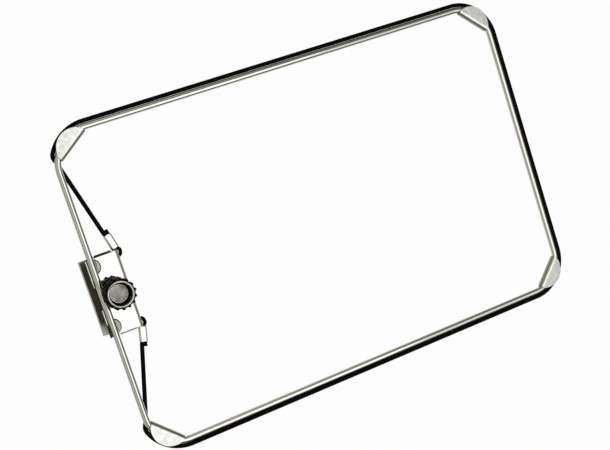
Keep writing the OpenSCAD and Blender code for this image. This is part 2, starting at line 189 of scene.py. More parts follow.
def settle(piece, finish, slot, body, *nodes, round_to=38):
    """Closes the seams of a piece, brings it to metres, finishes it and hangs it on its body."""
    open_up(piece)
    bpy.ops.mesh.remove_doubles(threshold=MERGE)
    bpy.ops.mesh.normals_make_consistent(inside=False)
    bpy.ops.object.mode_set(mode="OBJECT")
    piece.scale = (MM, MM, MM)
    bpy.ops.object.transform_apply()
    bpy.ops.object.shade_smooth_by_angle(angle=math.radians(round_to))
    piece.data.materials.clear()
    piece.data.materials.append(finish.material)
    if body:
        work(piece, "WEIGHTED_NORMAL", keep_sharp=True)
        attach(piece, body)
    if nodes:
        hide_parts(*nodes)


def feed(tree, socket, value):
    """Links a value to a socket, or sets the socket."""
    if isinstance(value, Value):
        tree.links.new(value.socket, socket)
    elif socket.type == "RGBA" and len(value) == 3:
        socket.default_value = (*value, 1)
    else:
        socket.default_value = value


class Value:
    """A socket of a material that takes part in sums: each operator adds its Math node."""

    def __init__(self, tree, socket):
        self.tree, self.socket = tree, socket

    def maths(self, operation, *values):
        node = self.tree.nodes.new("ShaderNodeMath")
        node.operation = operation
        for socket, value in zip(node.inputs, values):
            feed(self.tree, socket, value)
        return Value(self.tree, node.outputs[0])

    def sine(self):
        return self.maths("SINE", self)

    def __add__(self, other):
        return self.maths("ADD", self, other)

    def __sub__(self, other):
        return self.maths("SUBTRACT", self, other)

    def __rsub__(self, other):
        return self.maths("SUBTRACT", other, self)

    def __mul__(self, other):
        return self.maths("MULTIPLY", self, other)

    def __pow__(self, other):
        return self.maths("POWER", self, other)

    def __rpow__(self, other):
        return self.maths("POWER", other, self)

    __radd__, __rmul__ = __add__, __mul__


class Nodes:
    """A node tree: node() adds any node with its settings, and the values or links of its sockets."""

    def __init__(self, tree):
        self.tree = tree

    def node(self, kind, sockets, settings=None, output=0):
        node = self.tree.nodes.new("ShaderNode" + kind)
        for key, value in (settings or {}).items():
            if key == "stops":
                ramp = node.color_ramp.elements
                while len(ramp) < len(value):
                    ramp.new(0.5)
                for stop, (place, colour) in zip(ramp, value):
                    stop.position, stop.color = place, (*colour, 1)
            else:
                setattr(node, key, value)
        for name, value in sockets.items():
            feed(self.tree, node.inputs[name], value)
        return Value(self.tree, node.outputs[output])

    def blend(self, share, first, second):
        """A colour between two colours."""
        return self.node("Mix", {0: share, 6: first, 7: second}, {"data_type": "RGBA"}, output=2)


class Finish(Nodes):
    """A material under way: shade() sets or links the sockets of its shader."""

    def __init__(self, name, **sockets):
        self.material = bpy.data.materials.new(name)
        self.material.use_nodes = True
        super().__init__(self.material.node_tree)
        self.shader = self.tree.nodes["Principled BSDF"]
        self.shade(**sockets)

    def shade(self, **sockets):
        for name, value in sockets.items():
            feed(self.tree, self.shader.inputs[name.replace("_", " ")], value)

    def place(self, stretch=(1, 1, 1), shift=(0, 0, 0)):
        """Object coordinates, stretched and shifted."""
        point = self.node("TexCoord", {}, output="Object")
        return self.node("Mapping", {"Vector": point, "Location": shift, "Scale": stretch})

    def reach(self, axis, start, end):
        """A share from 0 to 1 along one axis, between two places in millimetres."""
        at = self.node("SeparateXYZ", {"Vector": self.place()}, output=axis)
        return self.node("MapRange", {"Value": at, "From Min": start * MM, "From Max": end * MM})

    def noise(self, scale, detail, stretch=(1, 1, 1)):
        return self.node("TexNoise", {"Vector": self.place(stretch), "Scale": scale, "Detail": detail})

    def contrast(self, noise):
        """A noise brought to the full range from 0 to 1."""
        return self.node("MapRange", {"Value": noise, "From Min": 0.32, "From Max": 0.68})

    def relief(self, height, depth):
        """Bumps of a depth in millimetres."""
        return self.node("Bump", {"Height": height, "Distance": depth * MM, "Strength": 1.0})


def span(value, low, high):
    """A value from 0 to 1 brought between two ends."""
    return value * (high - low) + low


def mixed(first, second, share):
    """Two patterns added up: a share of the first and the rest of the second."""
    return first * share + second * (1 - share)


def plated(name, bright, dull, smooth, rough, marks=(1, 1, 1)):
    """Plated metal: soft dull patches, and fine marks drawn out along one way."""
    finish = Finish(name, Metallic=1.0)
    patches = finish.noise(scale=160, detail=4)
    lines = finish.noise(scale=900, detail=4, stretch=marks)
    finish.colour = finish.blend(patches, bright, dull)
    finish.roughness = span(mixed(patches, lines, share=0.6), smooth, rough)
    finish.shade(Base_Color=finish.colour, Roughness=finish.roughness,
                 Normal=finish.relief(lines, depth=0.004))
    return finish


def post_shape(name, side, play, low, high):
    """A jaw post, or the tool for its slot: a round bar with one flat side."""
    post = bar(name, POST_ROUND + play, (POST_FLAT + POST_THICK - POST_ROUND, side * POST_Y, low),
               (0, 0, 1), high - low, sides=96)
    bpy.ops.mesh.bisect(plane_co=(POST_FLAT - play, 0, 0), plane_no=(1, 0, 0), clear_inner=True,
                        use_fill=True)
    return post


flat_from, flat_to = LIP_X + BEND_OUT, FLANGE_X - FLANGE_OUT
plate_low, plate_high = PLATE_MID - SHEET / 2, PLATE_MID + SHEET / 2
bracket = leaf("bracket_sheet", (flat_from, -PLATE_HALF, PLATE_MID), (flat_to, PLATE_HALF, PLATE_MID))
pick("EDGE", lambda x, y, z: x < flat_from + CLOSE)
fold((flat_from, 0, PLATE_MID + BEND_MID), (0, 1, 0), 90)
draw_out(z=LIP_TOP - PLATE_MID - BEND_MID)
pick("EDGE", lambda x, y, z: x > flat_to - CLOSE)
fold((flat_to, 0, PLATE_MID - FLANGE_MID), (0, 1, 0), 90)
draw_out(z=FLANGE_END - PLATE_MID + FLANGE_MID)
thicken(bracket, SHEET)
open_up(bracket)
pick("EDGE", lambda x, y, z: z > LIP_TOP - CLOSE)
bpy.ops.mesh.bevel(offset=LIP_ROUND, segments=5, affect="EDGES")
join(bracket, block("tool", (LIP_X - PAST, -LIP_GAP, plate_low - PAST), (flat_from, LIP_GAP, LIP_TOP + PAST)))
join(bracket, bar("tool", SCREW_HOLE_R, (SCREW_X, 0, plate_low - PAST), (0, 0, 1), SHEET + 2 * PAST))
for side in (-1, 1):
    ends = sorted((side * END_Y, side * (PLATE_HALF + PAST)))
    join(bracket, block("tool", (END_FROM - END_NOTCH, ends[0], plate_low - PAST),
                        (END_TO + END_NOTCH, ends[1], plate_high + PAST)))
    ends = sorted((side * (END_Y - BEND_OUT), side * END_Y))
    turned_end = leaf("turned_end", (END_FROM, ends[0], PLATE_MID), (END_TO, ends[1], PLATE_MID))
    pick("EDGE", lambda x, y, z: side * y > END_Y - CLOSE)
    fold((0, side * END_Y, PLATE_MID - BEND_MID), (1, 0, 0), -90 * side)
    draw_out(z=END_LOW - PLATE_MID + BEND_MID)
    thicken(turned_end, SHEET)
    join(bracket, turned_end, "UNION")
    ends = sorted((side * FLANGE_HALF, side * (PLATE_HALF + PAST)))
    join(bracket, block("tool", (flat_to, ends[0], FLANGE_END - PAST), (FLANGE_X + PAST, ends[1], NOTCH_TOP)))
    join(bracket, post_shape("tool", side, SLOT_PLAY, plate_low - PAST, plate_high + PAST))
    join(bracket, bar("tool", EYE_R, (flat_to, side * EYE_Y, EYE_Z), (1, 0, 0), FLANGE_OUT + PAST))
soften(bracket, SHEET_EDGE)

plating = plated("bracket_plating", PLATE_BRIGHT, PLATE_DULL, smooth=0.05, rough=0.1, marks=(1, 0.15, 1))
# The flange's bend is painted darker, a painted shade, and is also made rougher.
flange_bend = plating.reach("X", *FLANGE_BEND)
# The lip's outer side and the lip towards its lower end are painted dark: painted shade beside the pad.
lip_foot = plating.reach("X", *LIP_FACE) * plating.reach("Y", *LIP_FOOT)
plating_and_painted_shade = plating.blend(flange_bend, plating.colour, FLANGE_BEND_PAINTED_SHADE)
plating_and_painted_shade = plating.blend(lip_foot, plating_and_painted_shade, LIP_FOOT_PAINTED_SHADOW)
plating_and_painted_shade = plating.blend(plating.reach("X", *LIP_SIDE), plating_and_painted_shade, LIP_SIDE_PAINTED_SHADE)
# The upper end is painted dark, turning grey along X: a painted shade.
painted_end_shade = plating.blend(plating.reach("X", *UPPER_END_GREY), END_PAINTED_SHADE, END_PAINTED_GREY)
rougher = flange_bend * FLANGE_ROUGHER + plating.reach("Y", *LOWER_END) * LOWER_END_ROUGHER
plating.shade(Base_Color=plating.blend(plating.reach("Y", *UPPER_END), plating_and_painted_shade, painted_end_shade),
              Roughness=plating.roughness + rougher)
settle(bracket, plating, "plated_sheet", "bracket", "bracket_plate")


# Pads: two strips of dark olive rubber, cut from sheet and glued on the inner faces of the clamp,
# one on the back of the bracket and a wider one on the jaw.
PAD_EDGE = 0.22
# Painted light on the pads, in Y: a lighter grey sheen at the upper end and a pale highlight at the lower
# end.
PAINTED_SHEEN_END, PAINTED_HIGHLIGHT_END = (19.5, 22), (-15.5, -18.5)
OLIVE, BROWN, SCUFFED = (0.064, 0.072, 0.037), (0.09, 0.058, 0.038), (0.14, 0.14, 0.095)
PAINTED_SHEEN_GREY, PAINTED_HIGHLIGHT_PALE = (0.19, 0.2, 0.155), (0.88, 0.85, 0.8)


def rubber(name):
    """Dull rubber: brown and scuffed patches over a fine grain, a lighter grey painted sheen at the upper end
    and a pale, metallic painted highlight at the lower end."""
    finish = Finish(name, Specular_IOR_Level=0.3)
    patches = finish.contrast(finish.noise(scale=110, detail=2))
    scuffs_and_highlight = finish.noise(scale=220, detail=5)
    grain = finish.noise(scale=2600, detail=2)
    # Painted highlight: the lower end is painted pale, and made metallic and smoother, broken up by the scuff
    # noise.
    painted_highlight = finish.reach("Y", *PAINTED_HIGHLIGHT_END) * span(scuffs_and_highlight, 0.7, 1.3)
    colour = finish.blend(scuffs_and_highlight ** 2, finish.blend(patches, OLIVE, BROWN), SCUFFED)
    colour = finish.blend(finish.reach("Y", *PAINTED_SHEEN_END), colour, PAINTED_SHEEN_GREY)
    finish.shade(Base_Color=finish.blend(painted_highlight, colour, PAINTED_HIGHLIGHT_PALE), Metallic=painted_highlight,
                 Roughness=span(scuffs_and_highlight, 0.62, 0.86) - painted_highlight * 0.4, Normal=finish.relief(grain, depth=0.03))
    return finish


pad_rubber = rubber("pad_rubber_olive")
for name, node, body in (("front_pad", "plate_pad", "bracket"), ("rear_pad", "jaw_pad", "jaw")):
    low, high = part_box(node)
    pad = block(name, low / MM, high / MM)
    bpy.ops.mesh.bevel(offset=PAD_EDGE, segments=3, affect="EDGES")
    settle(pad, pad_rubber, "pad_rubber", body, node)


# Rear jaw: a plated steel plate with a low lip along its free edge, a tab for the nut and two D-shaped
# posts that are riveted in and slide in the bracket's slots, beside the rod.
JAW_BACK, JAW_FRONT, JAW_HALF = -6, -4.5, 23.5
JAW_FREE, JAW_IN, JAW_TAB, TAB_HALF = -5.7, 11, 14, 8
JAW_LIP, JAW_LIP_RISE, JAW_EDGE = 0.5, 1, 0.15
POST_TOP, POST_EDGE, POST_SUNK = 6.7, 0.45, 0.2
POST_SIDE, POST_END = (0, 1), (POST_TOP - 0.25, POST_TOP - 0.05)
JAW_BRIGHT, JAW_DULL = (0.56, 0.57, 0.53), (0.42, 0.43, 0.39)
POST_SIDE_PAINTED_SHADE, POST_BARE = (0.03, 0.03, 0.026), (0.4, 0.4, 0.36)

jaw = block("rear_jaw", (JAW_FREE, -JAW_HALF, JAW_BACK), (JAW_IN, JAW_HALF, JAW_FRONT))
bpy.ops.mesh.bisect(plane_co=(JAW_FREE + JAW_LIP, 0, 0), plane_no=(1, 0, 0))
for side in (-1, 1):
    bpy.ops.mesh.select_all(action="SELECT")
    bpy.ops.mesh.bisect(plane_co=(0, side * TAB_HALF, 0), plane_no=(0, 1, 0))
pick("FACE", lambda x, y, z: z > JAW_FRONT - CLOSE and x < JAW_FREE + JAW_LIP + CLOSE)
draw_out(z=JAW_LIP_RISE)
pick("FACE", lambda x, y, z: x > JAW_IN - CLOSE and abs(y) < TAB_HALF + CLOSE)
draw_out(x=JAW_TAB - JAW_IN)
join(jaw, bar("tool", SCREW_HOLE_R, (SCREW_X, 0, JAW_BACK - PAST), (0, 0, 1),
              JAW_FRONT - JAW_BACK + 2 * PAST))
for side in (-1, 1):
    post = post_shape("tool", side, 0, JAW_BACK + POST_SUNK, POST_TOP)
    pick("EDGE", lambda x, y, z: z > POST_TOP - CLOSE)
    bpy.ops.mesh.bevel(offset=POST_EDGE, segments=4, affect="EDGES")
    join(jaw, post, "UNION")
soften(jaw, JAW_EDGE)

jaw_plating = plated("jaw_plating", JAW_BRIGHT, JAW_DULL, smooth=0.24, rough=0.42, marks=(1, 0.2, 1))
# Painted shade: the posts' sides are painted dark up to their grey, bare top end.
posts = jaw_plating.blend(jaw_plating.reach("Z", *POST_END), POST_SIDE_PAINTED_SHADE, POST_BARE)
posts = jaw_plating.blend(jaw_plating.reach("Z", *POST_SIDE), jaw_plating.colour, posts)
jaw_plating.shade(Base_Color=posts)
settle(jaw, jaw_plating, "jaw_steel", "jaw", "clamp_jaw")


# Nut: a plain hexagon nut of zinc plated steel, with its corners turned off, pressed and welded on the
# back of the jaw.
NUT_FLATS, NUT_LOW, NUT_HIGH, NUT_BORE = 10, -10, -6, 3.05
NUT_TURNED_R, NUT_EDGE_RUN, NUT_EDGE_RISE = 5.9, 1.15, 0.66
MOUTH_EDGE, MOUTH_PAST = 0.65, 0.2
NUT_BRIGHT, NUT_DULL = (0.68, 0.68, 0.64), (0.56, 0.56, 0.52)


def turned(name, outline, hollow=True, sides=64):
    """A piece turned about the screw's axis: one ring, drawn out and resized to each next radius and
    height."""
    radius, height = outline[0]
    piece = start(name, bpy.ops.mesh.primitive_circle_add, vertices=sides, radius=radius,
                  fill_type="NOTHING" if hollow else "NGON", location=(SCREW_X, 0, height))
    for next_radius, next_height in outline[1:] + (outline[:1] if hollow else []):
        draw_out(z=next_height - height)
        ratio = next_radius / radius
        bpy.ops.transform.resize(value=(ratio, ratio, 1), center_override=(SCREW_X, 0, next_height))
        radius, height = next_radius, next_height
    bpy.ops.mesh.select_all(action="SELECT")
    bpy.ops.mesh.remove_doubles(threshold=MERGE)
    bpy.ops.mesh.normals_make_consistent(inside=False)
    return piece


def edge(radius, height, run, rise, steps=1):
    """An edge of a turned piece, from its side to its face: a chamfer, or a round in more steps. A bore's
    edge has a negative run, and a lower edge a negative rise."""
    angles = [math.pi / 2 * k / steps for k in range(steps + 1)]
    return [(radius - run * (1 - math.cos(a)), height - rise * (1 - math.sin(a))) for a in angles]


nut = start("rear_nut", bpy.ops.mesh.primitive_cylinder_add, vertices=6,
            radius=NUT_FLATS / 2 / math.cos(math.pi / 6), depth=NUT_HIGH - NUT_LOW,
            location=(SCREW_X, 0, (NUT_LOW + NUT_HIGH) / 2))
turned_off = (edge(NUT_TURNED_R, NUT_LOW, NUT_EDGE_RUN, -NUT_EDGE_RISE)[::-1]
              + edge(NUT_TURNED_R, NUT_HIGH, NUT_EDGE_RUN, NUT_EDGE_RISE))
join(nut, turned("tool", turned_off, hollow=False), "INTERSECT")
bore = (edge(NUT_BORE, NUT_LOW - MOUTH_PAST, -MOUTH_EDGE, -MOUTH_EDGE)[::-1]
        + edge(NUT_BORE, NUT_HIGH + MOUTH_PAST, -MOUTH_EDGE, MOUTH_EDGE))
join(nut, turned("tool", bore, hollow=False))
nut_zinc = plated("nut_zinc", NUT_BRIGHT, NUT_DULL, smooth=0.26, rough=0.42)
settle(nut, nut_zinc, "screw_steel", "jaw", "jaw_nut", round_to=25)


# Screw and clip: a zinc plated steel screw pressed into the knob, with a rolled thread up to the plate
# and a groove there. A spring clip of dark steel sits in the groove and keeps the screw in the plate.
SCREW_LOW, SCREW_HIGH, TIP_EDGE = -11, 14.25, 0.6
SHANK_R, SHANK_EDGE, SHANK_TOP_RUN, SHANK_TOP_RISE = 2.98, 0.13, 0.18, 0.2
GROOVE_LOW, GROOVE_HIGH, GROOVE_R, GROOVE_PLAY = 3.4, 4.2, 2.5, 0.02
PITCH, THREAD_TURNS, THREAD_STEPS = 1, 13, 24
THREAD_MID, THREAD_SIZE, THREAD_FROM = 2.56, 0.44, 0.75
CLIP_R, CLIP_GAP, CLIP_EDGE = 5, 4.5, 0.12
SCREW_BRIGHT, SCREW_DULL = (0.66, 0.66, 0.62), (0.52, 0.52, 0.48)
CLIP_BRIGHT, CLIP_DULL = (0.3, 0.29, 0.27), (0.2, 0.19, 0.17)

shaft = (edge(GROOVE_R, SCREW_LOW, TIP_EDGE, -TIP_EDGE)[::-1] + [(GROOVE_R, GROOVE_HIGH)]
         + edge(SHANK_R, GROOVE_HIGH + GROOVE_PLAY, SHANK_EDGE, -SHANK_EDGE)[::-1]
         + edge(SHANK_R, SCREW_HIGH, SHANK_TOP_RUN, SHANK_TOP_RISE))
screw = turned("screw_shaft", shaft, hollow=False)
thread_foot = (0, 0, SCREW_LOW + THREAD_FROM)
thread = start("tool", bpy.ops.mesh.primitive_circle_add, vertices=3, radius=THREAD_SIZE,
               location=thread_foot, rotation=(math.pi / 2, 0, 0))
bpy.ops.transform.rotate(value=math.pi / 2, orient_axis="Y", center_override=thread_foot)
bpy.ops.transform.translate(value=(THREAD_MID, 0, 0))
work(thread, "SCREW", axis="Z", angle=math.tau, screw_offset=PITCH, iterations=THREAD_TURNS,
     steps=THREAD_STEPS, render_steps=THREAD_STEPS)
open_up(thread)
bpy.ops.mesh.fill_holes(sides=4)
bpy.ops.mesh.normals_make_consistent(inside=False)
bpy.ops.transform.translate(value=(SCREW_X, 0, 0))
join(screw, thread, "UNION")
screw_zinc = plated("screw_zinc", SCREW_BRIGHT, SCREW_DULL, smooth=0.24, rough=0.42)
settle(screw, screw_zinc, "screw_steel", "knob", "clamp_screw", round_to=30)

clip = turned("screw_clip", [(GROOVE_R, GROOVE_LOW), (CLIP_R, GROOVE_LOW), (CLIP_R, GROOVE_HIGH),
                             (GROOVE_R, GROOVE_HIGH)])
join(clip, block("tool", (SCREW_X, -CLIP_GAP / 2, GROOVE_LOW - PAST),
                 (SCREW_X + CLIP_R + PAST, CLIP_GAP / 2, GROOVE_HIGH + PAST)))
soften(clip, CLIP_EDGE)
clip_steel = plated("clip_dark_steel", CLIP_BRIGHT, CLIP_DULL, smooth=0.28, rough=0.45)
settle(clip, clip_steel, "clip_steel", "knob", "retaining_clip")


# Collar and washer: two turned rings, loose on the screw. The collar of plated steel stands on the plate
# and is as high as the rod, and the washer of dark spring steel over it holds the rod down.
COLLAR_BORE, COLLAR_R, COLLAR_HIGH, COLLAR_EDGE = 3.05, 5.5, 9.9, 0.3
WASHER_BORE, WASHER_R, WASHER_HIGH, WASHER_EDGE = 3.4, 9.2, 10.9, 0.25
BORE_EDGE = 0.2
COLLAR_BRIGHT, COLLAR_DULL = (0.76, 0.76, 0.73), (0.62, 0.62, 0.58)
WASHER_BRIGHT, WASHER_DULL = (0.1, 0.098, 0.09), (0.05, 0.049, 0.045)


def turned_ring(name, bore, outside, low, high, outer_edge, steps):
    """A turned ring with a small chamfer in its bore, and its outer edges broken in steps."""
    return turned(name, edge(bore, low, -BORE_EDGE, -BORE_EDGE)
                  + edge(outside, low, outer_edge, -outer_edge, steps)[::-1]
                  + edge(outside, high, outer_edge, outer_edge, steps)
                  + edge(bore, high, -BORE_EDGE, BORE_EDGE)[::-1])


def lathed(name, bright, dull, smooth, rough):
    """Turned metal: fine rings about the screw's axis, uneven, and duller patches."""
    finish = Finish(name, Metallic=1.0)
    point = finish.place(shift=(-SCREW_X * MM, 0, 0))
    across = finish.node("VectorMath", {0: point, 1: (1, 1, 0)}, {"operation": "MULTIPLY"})
    radius = finish.node("VectorMath", {0: across}, {"operation": "LENGTH"}, output="Value")
    patches = finish.contrast(finish.noise(scale=300, detail=4))
    rings = finish.node("TexNoise", {"W": radius, "Scale": 5200, "Detail": 2}, {"noise_dimensions": "1D"})
    finish.colour = finish.blend(patches, bright, dull)
    finish.shade(Base_Color=finish.colour, Roughness=span(mixed(patches, rings, share=0.5), smooth, rough),
                 Normal=finish.relief(rings, depth=0.012))
    return finish


collar = turned_ring("screw_collar", COLLAR_BORE, COLLAR_R, plate_high, COLLAR_HIGH, COLLAR_EDGE, steps=1)
collar_plating = lathed("collar_plating", COLLAR_BRIGHT, COLLAR_DULL, smooth=0.18, rough=0.36)
settle(collar, collar_plating, "plated_turned", "bracket", "spacer_collar")
washer = turned_ring("rod_washer", WASHER_BORE, WASHER_R, COLLAR_HIGH, WASHER_HIGH, WASHER_EDGE, steps=2)
washer_steel = lathed("washer_dark_steel", WASHER_BRIGHT, WASHER_DULL, smooth=0.25, rough=0.45)
settle(washer, washer_steel, "clip_steel", "bracket", "pressure_washer")


# Knob: a grip of black moulded plastic with fifteen round ribs, pressed on the screw. Its top is hollow,
# with a bright ring let into the edge and a bright turned cap down in the hollow.
KNOB_LOW, KNOB_HIGH, KNOB_BORE, KNOB_SIDES = 10.95, 21.95, 3.02, 90
CORE_R, CORE_FOOT, CORE_TOP = 8.7, 0.35, 0.5
SEAT_R, SEAT_DEPTH, SEAT_DRAFT = 8, 0.8, 0.03
HOLLOW_R, HOLLOW_LOW, HOLLOW_DRAFT = 6.8, 14.25, 0.02
RIB_COUNT, RIB_R, RIB_RING, RIB_TOP, RIB_FOOT = 15, 1, 8.6, 0.5, 0.3
TRIM_R, TRIM_RUN, TRIM_OUTER_RISE, TRIM_INNER_RISE = 7.95, 0.35, 0.2, 0.25
CAP_R, CAP_HIGH, CAP_FOOT, CAP_TOP_RUN, CAP_TOP_RISE = 5.6, 15.45, 0.2, 0.25, 0.2
CAP_RIM_R, CAP_SUNK, CAP_STEP_RUN, CAP_STEP_RISE = 5.05, 0.4, 0.1, 0.06
CAP_DISH, DISH_R, DISH_MIDDLE_R = 0.02, 2.4, 0.5
CAP_RIM = (CAP_HIGH - 0.3, CAP_HIGH - 0.1)
GRIP_BLACK, GRIP_SCUFFED = (0.004, 0.0036, 0.0032), (0.022, 0.02, 0.018)
TRIM_BRIGHT, TRIM_DULL = (0.6, 0.58, 0.53), (0.34, 0.32, 0.29)
CAP_BRIGHT, CAP_DULL, CAP_RIM_PAINTED_HIGHLIGHT = (0.36, 0.34, 0.29), (0.19, 0.18, 0.15), (0.85, 0.86, 0.83)


def another(piece, name, place):
    """A copy of a piece with a mesh of its own, moved to its place."""
    copy = piece.copy()
    copy.name = name
    copy.data = piece.data.copy()
    bpy.context.collection.objects.link(copy)
    copy.data.transform(place)
    return copy


seat_low = KNOB_HIGH - SEAT_DEPTH
grip = turned("knob_grip", [(KNOB_BORE, KNOB_LOW)] + edge(CORE_R, KNOB_LOW, CORE_FOOT, -CORE_FOOT)[::-1]
              + edge(CORE_R, KNOB_HIGH, CORE_TOP, CORE_TOP, steps=3)
              + [(SEAT_R, KNOB_HIGH), (SEAT_R - SEAT_DRAFT, seat_low), (HOLLOW_R + HOLLOW_DRAFT, seat_low),
                 (HOLLOW_R, HOLLOW_LOW), (KNOB_BORE, HOLLOW_LOW)], sides=KNOB_SIDES)
rib = bar("tool", RIB_R, (SCREW_X + RIB_RING, 0, KNOB_LOW), (0, 0, 1), KNOB_HIGH - KNOB_LOW, sides=24)
pick("EDGE", lambda x, y, z: z > KNOB_HIGH - CLOSE)
bpy.ops.mesh.bevel(offset=RIB_TOP, segments=4, affect="EDGES")
pick("EDGE", lambda x, y, z: z < KNOB_LOW + CLOSE)
bpy.ops.mesh.bevel(offset=RIB_FOOT, segments=2, affect="EDGES")
alone()
about = Matrix.Translation((SCREW_X, 0, 0))
turns = [Matrix.Rotation(math.tau * count / RIB_COUNT, 4, "Z") for count in range(RIB_COUNT)]
ribs = [another(rib, "tool", about @ turn @ about.inverted()) for turn in turns]
bpy.data.objects.remove(rib)
hold(ribs[0])
for copy in ribs[1:]:
    copy.select_set(True)
bpy.ops.object.join()
join(grip, ribs[0], "UNION")

black_plastic = Finish("knob_black", Specular_IOR_Level=0.02)
scuffs = black_plastic.noise(scale=420, detail=5)
moulding = black_plastic.noise(scale=3200, detail=2)
black_plastic.shade(Base_Color=black_plastic.blend(scuffs ** 3, GRIP_BLACK, GRIP_SCUFFED),
                    Roughness=span(scuffs, 0.45, 0.65), Normal=black_plastic.relief(moulding, depth=0.012))
settle(grip, black_plastic, "knob_plastic", "knob", "knob_body")

ring = turned("knob_ring", [(HOLLOW_R, seat_low), (TRIM_R, seat_low)]
              + edge(TRIM_R, KNOB_HIGH, TRIM_RUN, TRIM_OUTER_RISE, steps=2)
              + edge(HOLLOW_R, KNOB_HIGH, -TRIM_RUN, TRIM_INNER_RISE, steps=2)[::-1], sides=KNOB_SIDES)
ring_turned = lathed("ring_turned", TRIM_BRIGHT, TRIM_DULL, smooth=0.26, rough=0.44)
settle(ring, ring_turned, "knob_trim", "knob", "knob_rim_ring")

cap_floor = CAP_HIGH - CAP_SUNK
dish_low = cap_floor - CAP_DISH
cap = turned("knob_disc", edge(CAP_R, HOLLOW_LOW, CAP_FOOT, -CAP_FOOT)[::-1]
             + edge(CAP_R, CAP_HIGH, CAP_TOP_RUN, CAP_TOP_RISE, steps=2)
             + edge(CAP_RIM_R, CAP_HIGH, -CAP_STEP_RUN, CAP_STEP_RISE)[::-1]
             + edge(CAP_RIM_R - CAP_STEP_RUN, cap_floor, CAP_STEP_RUN, -CAP_STEP_RISE)
             + [(DISH_R, dish_low), (DISH_MIDDLE_R, dish_low)], hollow=False, sides=KNOB_SIDES)
dulled = lathed("cap_dulled", CAP_BRIGHT, CAP_DULL, smooth=0.3, rough=0.5)
# The cap's raised rim is painted bright: a painted highlight.
dulled.shade(Base_Color=dulled.blend(dulled.reach("Z", *CAP_RIM), dulled.colour, CAP_RIM_PAINTED_HIGHLIGHT))
settle(cap, dulled, "knob_trim", "knob", "knob_cap")


# Frame rod: one length of bright plated 4 mm round steel, bent four times into a ring. The ends are
# butted and welded on the far side, and the clamp's side turns under the washer.
ROD_R, ROD_Z, RING_L, RING_W, BEND_R = 2, 7.8, 300, 198, 22.5
BEND_X, BEND_Y = RING_L / 2 - BEND_R, RING_W / 2 - BEND_R
ROD_BRIGHT, ROD_DULL = (0.8, 0.8, 0.76), (0.72, 0.72, 0.67)

rod = start("bent_rod", bpy.ops.mesh.primitive_circle_add, vertices=32, radius=ROD_R,
            location=(RING_L, 0, ROD_Z), rotation=(math.pi / 2, 0, 0))
draw_out(y=BEND_Y)
for far, top, next_x, next_y in ((1, 1, -2 * BEND_X, 0), (-1, 1, 0, -2 * BEND_Y), (-1, -1, 2 * BEND_X, 0),
                                 (1, -1, 0, BEND_Y)):
    fold((RING_L / 2 + far * BEND_X, top * BEND_Y, ROD_Z), (0, 0, 1), 90, steps=24)
    draw_out(x=next_x, y=next_y)
rod_chrome = plated("rod_chrome_drawn", ROD_BRIGHT, ROD_DULL, smooth=0.02, rough=0.07)
settle(rod, rod_chrome, "rod_chrome", "frame", "frame_rod")


# Corner guides: four half-round pieces of plated steel sheet, folded double over the bends of the rod
# and brushed. Their two plates keep the elastic cord on the outside of the bend.
GUIDE_SHEET, GUIDE_MID, GUIDE_R, GUIDE_TIP, GUIDE_EDGE = 0.8, 2.5, 12.4, -5.22, 0.18
FOLD_AT, FOLD_HALF, FOLD_FROM, FOLD_TO = -12.72, 11.28, 2.7, 2.1
GUIDE_SLID = 9.5
GUIDE_BRIGHT, GUIDE_DULL, FOLD_PAINTED_REFLECTION = (0.84, 0.86, 0.82), (0.66, 0.68, 0.65), (0.45, 0.45, 0.36)


def brushed(name):
    """Brushed plating: mottled, with fine scratches both ways, and a darker olive painted reflection round
    the fold.
    """
    finish = Finish(name, Metallic=1.0)
    mottle = finish.contrast(finish.noise(scale=420, detail=6))
    lengthwise, crosswise = (finish.noise(scale=1500, detail=3, stretch=way)
                             for way in ((1, 0.06, 1), (0.06, 1, 1)))
    scratches = mixed(lengthwise, crosswise, share=0.5)
    # Round the fold the colour is painted a darker olive: a painted reflection.
    fold_reflection_mask = (finish.reach("Z", ROD_Z + FOLD_FROM, ROD_Z + FOLD_TO)
              * finish.reach("Z", ROD_Z - FOLD_FROM, ROD_Z - FOLD_TO))
    colour = finish.blend(mottle, GUIDE_BRIGHT, GUIDE_DULL)
    finish.shade(Base_Color=finish.blend(fold_reflection_mask, colour, FOLD_PAINTED_REFLECTION),
                 Roughness=span(mixed(mottle, scratches, share=0.5), 0.22, 0.36),
                 Normal=finish.relief(scratches, depth=0.01))
    return finish


guide = start("guide_sheet", bpy.ops.mesh.primitive_circle_add, vertices=128, radius=GUIDE_R,
              fill_type="NGON", location=(GUIDE_TIP - GUIDE_R, 0, GUIDE_MID))
bpy.ops.mesh.bisect(plane_co=(FOLD_AT, 0, 0), plane_no=(1, 0, 0), clear_inner=True)
for side in (-1, 1):
    bpy.ops.mesh.select_all(action="SELECT")
    bpy.ops.mesh.bisect(plane_co=(0, side * FOLD_HALF, 0), plane_no=(0, side, 0), clear_outer=True)
pick("EDGE", lambda x, y, z: x < FOLD_AT + CLOSE)
fold((FOLD_AT, 0, 0), (0, 1, 0), -90)
work(guide, "MIRROR", use_axis=(False, False, True), merge_threshold=MERGE)
thicken(guide, GUIDE_SHEET)
soften(guide, GUIDE_EDGE)
guide_finish = brushed("guide_brushed")
for name, far, top, slid in (("near_top", -1, 1, GUIDE_SLID), ("near_bottom", -1, -1, 0),
                             ("far_top", 1, 1, 0), ("far_bottom", 1, -1, 0)):
    bend_middle = Matrix.Translation((RING_L / 2 + far * BEND_X, top * BEND_Y, ROD_Z))
    turn = Matrix.Rotation(math.atan2(top, far) - math.radians(slid), 4, "Z")
    on_rod = Matrix.Translation((BEND_R * math.sqrt(2), 0, 0))
    copy = another(guide, "guide_" + name, bend_middle @ turn @ on_rod)
    settle(copy, guide_finish, "guide_sheet", "frame", "corner_guide_" + name)
bpy.data.objects.remove(guide)


